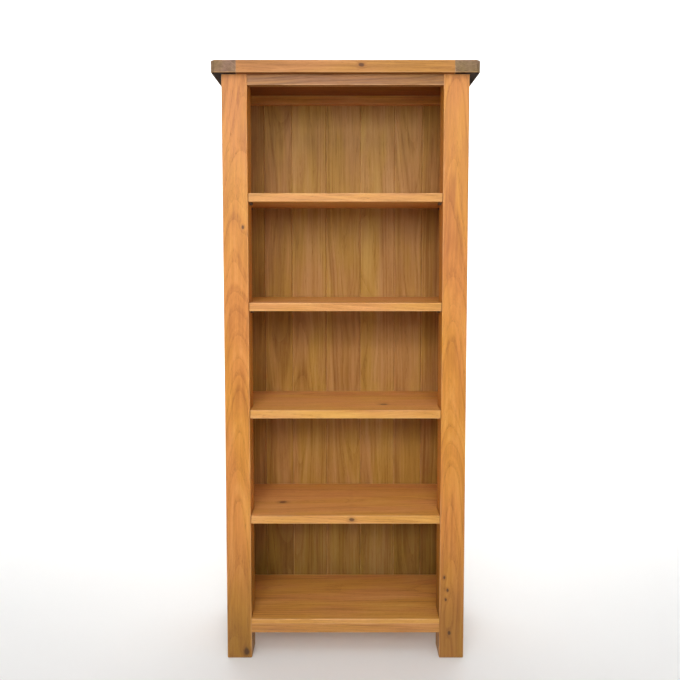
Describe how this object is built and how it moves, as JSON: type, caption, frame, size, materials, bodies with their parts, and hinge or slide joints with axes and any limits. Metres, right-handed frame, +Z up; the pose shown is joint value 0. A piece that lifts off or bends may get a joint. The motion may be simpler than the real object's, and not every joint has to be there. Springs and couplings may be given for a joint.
{
  "type": "bookcase with adjustable shelves",
  "caption": "Tall narrow oak bookcase with square posts, an overhanging top with dark cleated ends, a boarded back and pin-held shelves that lift off.",
  "frame": {"origin": "on the floor, under the centre of the top's outline", "axes": "+Z up, the open front faces -Y, +X to the right as seen from the front"},
  "size_m": [0.78, 0.32, 1.8],
  "materials": {
    "oak": "waxed honey oak",
    "oak_cleat": "smoked oak, end grain showing",
    "steel_screw": "zinc-plated steel",
    "steel_pin": "nickel-plated steel"
  },
  "bodies": {
    "case": {"top_panel": "oak", "top_cleat_left": "oak_cleat", "top_cleat_right": "oak_cleat", "front_post_left": "oak", "front_post_right": "oak", "back_post_left": "oak", "back_post_right": "oak", "side_top_rail_left": "oak", "side_top_rail_right": "oak", "side_bottom_rail_left": "oak", "side_bottom_rail_right": "oak", "side_panel_left": "oak", "side_panel_right": "oak", "bottom_batten_left": "oak", "bottom_batten_right": "oak", "front_top_rail": "oak", "front_bottom_rail": "oak", "back_top_rail": "oak", "back_bottom_rail": "oak", "bottom_board": "oak", "back_board_1": "oak", "back_board_2": "oak", "back_board_3": "oak", "back_board_4": "oak", "back_board_5": "oak", "back_board_6": "oak", "back_board_7": "oak", "top_screws": "steel_screw", "batten_screws": "steel_screw", "back_board_screws": "steel_screw"},
    "shelf_1": {"shelf_1": "oak"},
    "shelf_2": {"shelf_2": "oak"},
    "shelf_3": {"shelf_3": "oak"},
    "shelf_4": {"shelf_4": "oak"},
    "pin_1_front_left": {"pin_1_front_left": "steel_pin"},
    "pin_1_front_right": {"pin_1_front_right": "steel_pin"},
    "pin_1_back_left": {"pin_1_back_left": "steel_pin"},
    "pin_1_back_right": {"pin_1_back_right": "steel_pin"},
    "pin_2_front_left": {"pin_2_front_left": "steel_pin"},
    "pin_2_front_right": {"pin_2_front_right": "steel_pin"},
    "pin_2_back_left": {"pin_2_back_left": "steel_pin"},
    "pin_2_back_right": {"pin_2_back_right": "steel_pin"},
    "pin_3_front_left": {"pin_3_front_left": "steel_pin"},
    "pin_3_front_right": {"pin_3_front_right": "steel_pin"},
    "pin_3_back_left": {"pin_3_back_left": "steel_pin"},
    "pin_3_back_right": {"pin_3_back_right": "steel_pin"},
    "pin_4_front_left": {"pin_4_front_left": "steel_pin"},
    "pin_4_front_right": {"pin_4_front_right": "steel_pin"},
    "pin_4_back_left": {"pin_4_back_left": "steel_pin"},
    "pin_4_back_right": {"pin_4_back_right": "steel_pin"}
  },
  "joints": [
    {"name": "lift_shelf_1", "type": "slide", "parent": "case", "child": "shelf_1", "axis": [0, 0, 1], "range_m": [0, 0.3]},
    {"name": "lift_shelf_2", "type": "slide", "parent": "case", "child": "shelf_2", "axis": [0, 0, 1], "range_m": [0, 0.285]},
    {"name": "lift_shelf_3", "type": "slide", "parent": "case", "child": "shelf_3", "axis": [0, 0, 1], "range_m": [0, 0.285]},
    {"name": "lift_shelf_4", "type": "slide", "parent": "case", "child": "shelf_4", "axis": [0, 0, 1], "range_m": [0, 0.285]},
    {"name": "pull_pin_1_front_left", "type": "slide", "parent": "case", "child": "pin_1_front_left", "axis": [1, 0, 0], "range_m": [0, 0.012]},
    {"name": "pull_pin_1_front_right", "type": "slide", "parent": "case", "child": "pin_1_front_right", "axis": [-1, 0, 0], "range_m": [0, 0.012]},
    {"name": "pull_pin_1_back_left", "type": "slide", "parent": "case", "child": "pin_1_back_left", "axis": [1, 0, 0], "range_m": [0, 0.012]},
    {"name": "pull_pin_1_back_right", "type": "slide", "parent": "case", "child": "pin_1_back_right", "axis": [-1, 0, 0], "range_m": [0, 0.012]},
    {"name": "pull_pin_2_front_left", "type": "slide", "parent": "case", "child": "pin_2_front_left", "axis": [1, 0, 0], "range_m": [0, 0.012]},
    {"name": "pull_pin_2_front_right", "type": "slide", "parent": "case", "child": "pin_2_front_right", "axis": [-1, 0, 0], "range_m": [0, 0.012]},
    {"name": "pull_pin_2_back_left", "type": "slide", "parent": "case", "child": "pin_2_back_left", "axis": [1, 0, 0], "range_m": [0, 0.012]},
    {"name": "pull_pin_2_back_right", "type": "slide", "parent": "case", "child": "pin_2_back_right", "axis": [-1, 0, 0], "range_m": [0, 0.012]},
    {"name": "pull_pin_3_front_left", "type": "slide", "parent": "case", "child": "pin_3_front_left", "axis": [1, 0, 0], "range_m": [0, 0.012]},
    {"name": "pull_pin_3_front_right", "type": "slide", "parent": "case", "child": "pin_3_front_right", "axis": [-1, 0, 0], "range_m": [0, 0.012]},
    {"name": "pull_pin_3_back_left", "type": "slide", "parent": "case", "child": "pin_3_back_left", "axis": [1, 0, 0], "range_m": [0, 0.012]},
    {"name": "pull_pin_3_back_right", "type": "slide", "parent": "case", "child": "pin_3_back_right", "axis": [-1, 0, 0], "range_m": [0, 0.012]},
    {"name": "pull_pin_4_front_left", "type": "slide", "parent": "case", "child": "pin_4_front_left", "axis": [1, 0, 0], "range_m": [0, 0.012]},
    {"name": "pull_pin_4_front_right", "type": "slide", "parent": "case", "child": "pin_4_front_right", "axis": [-1, 0, 0], "range_m": [0, 0.012]},
    {"name": "pull_pin_4_back_left", "type": "slide", "parent": "case", "child": "pin_4_back_left", "axis": [1, 0, 0], "range_m": [0, 0.012]},
    {"name": "pull_pin_4_back_right", "type": "slide", "parent": "case", "child": "pin_4_back_right", "axis": [-1, 0, 0], "range_m": [0, 0.012]}
  ]
}
